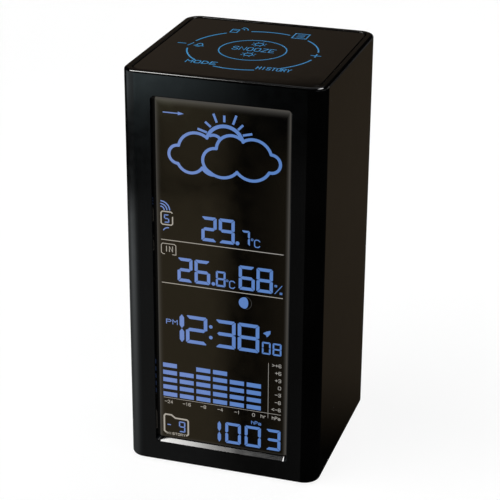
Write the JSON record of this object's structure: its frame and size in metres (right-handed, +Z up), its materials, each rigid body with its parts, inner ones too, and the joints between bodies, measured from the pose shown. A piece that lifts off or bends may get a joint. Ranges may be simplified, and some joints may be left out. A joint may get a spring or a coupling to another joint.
{
  "type": "home weather station",
  "caption": "Square upright desktop weather station with a tall recessed display window, a flush touch plate on top, and an inset rear cover with battery door, slide switch and push buttons.",
  "frame": {"origin": "centre of the plane the four rubber feet stand on", "axes": "+Z up, the display faces -Y, +X to the reader's right"},
  "size_m": [0.085, 0.085, 0.1771],
  "materials": {
    "gloss_black": "piano black gloss moulding",
    "tinted_acrylic": "dark tinted acrylic, polished",
    "lens_acrylic": "dark tinted window acrylic, polished",
    "matte_black": "fine spark-eroded texture",
    "white_abs": "satin white",
    "opal_acrylic": "opal satin",
    "clear_acrylic": "clear polished",
    "lcd_glass": "clear glass",
    "polariser": "smoke grey film",
    "foam_tape": "black foam",
    "pcb_green": "green solder mask",
    "chip_black": "moulded epoxy",
    "ceramic": "matt ceramic chips",
    "steel": "nickel plated",
    "tin_shield": "tin plate",
    "copper": "enamelled copper",
    "rubber_black": "matt rubber",
    "zebra_rubber": "silicone",
    "connector_white": "nylon",
    "ribbon_grey": "flat cable film",
    "lead_red": "PVC sleeve",
    "lead_black": "PVC sleeve",
    "cell_jacket": "printed shrink film",
    "led_lens": "clear epoxy lamp",
    "button_grey": "satin"
  },
  "bodies": {
    "root": {"housing": "gloss_black", "base_plate": "matte_black", "base_plate_screws": "steel", "rubber_feet": "rubber_black", "touch_plate": "tinted_acrylic", "touch_plate_tape": "foam_tape", "touch_sensor_film": "clear_acrylic", "touch_diffuser": "opal_acrylic", "touch_light_frame": "white_abs", "touch_board": "pcb_green", "touch_leds": "led_lens", "touch_controller": "chip_black", "touch_board_screws": "steel", "display_lens": "lens_acrylic", "display_lens_tape": "foam_tape", "lcd_front_glass": "lcd_glass", "lcd_rear_glass": "lcd_glass", "lcd_polarisers": "polariser", "lcd_frame": "white_abs", "backlight_diffuser": "opal_acrylic", "backlight_guide": "clear_acrylic", "backlight_reflector": "white_abs", "backlight_led_boards": "pcb_green", "backlight_leds": "led_lens", "zebra_strip": "zebra_rubber", "main_board": "pcb_green", "main_board_screws": "steel", "main_controller": "chip_black", "display_driver": "chip_black", "board_components": "ceramic", "pressure_sensor": "tin_shield", "buzzer": "chip_black", "radio_board": "pcb_green", "radio_shield": "tin_shield", "radio_antenna": "copper", "lead_headers": "connector_white", "lead_plugs": "connector_white", "ribbon_connectors": "connector_white", "touch_ribbon": "ribbon_grey", "control_ribbon": "ribbon_grey", "rear_cover": "matte_black", "rear_cover_screws": "steel", "control_board": "pcb_green", "control_board_screws": "steel", "humidity_sensor": "tin_shield", "tact_switch_bodies": "chip_black", "slide_switch_body": "chip_black", "dc_jack": "chip_black", "batteries": "cell_jacket", "battery_springs": "steel", "battery_contacts": "steel", "supply_leads_red": "lead_red", "supply_leads_black": "lead_black"},
    "battery_door": {"battery_door": "matte_black"},
    "unit_switch": {"unit_switch_knob": "button_grey"},
    "search_key": {"search_button": "button_grey", "search_switch_plunger": "button_grey"},
    "reset_key": {"reset_button": "button_grey", "reset_switch_plunger": "button_grey"}
  },
  "joints": [
    {"name": "battery_door_hinge", "type": "hinge", "parent": "root", "child": "battery_door", "pos_m": [0, 0.042, 0.034], "axis": [-1, 0, 0], "range_deg": [0, 75]},
    {"name": "unit_switch_slide", "type": "slide", "parent": "root", "child": "unit_switch", "axis": [1, 0, 0], "range_m": [0, 0.0025]},
    {"name": "search_key_press", "type": "slide", "parent": "root", "child": "search_key", "axis": [0, -1, 0], "range_m": [0, 0.0006], "stiffness_N_per_m": 800},
    {"name": "reset_key_press", "type": "slide", "parent": "root", "child": "reset_key", "axis": [0, -1, 0], "range_m": [0, 0.0006], "stiffness_N_per_m": 800}
  ]
}
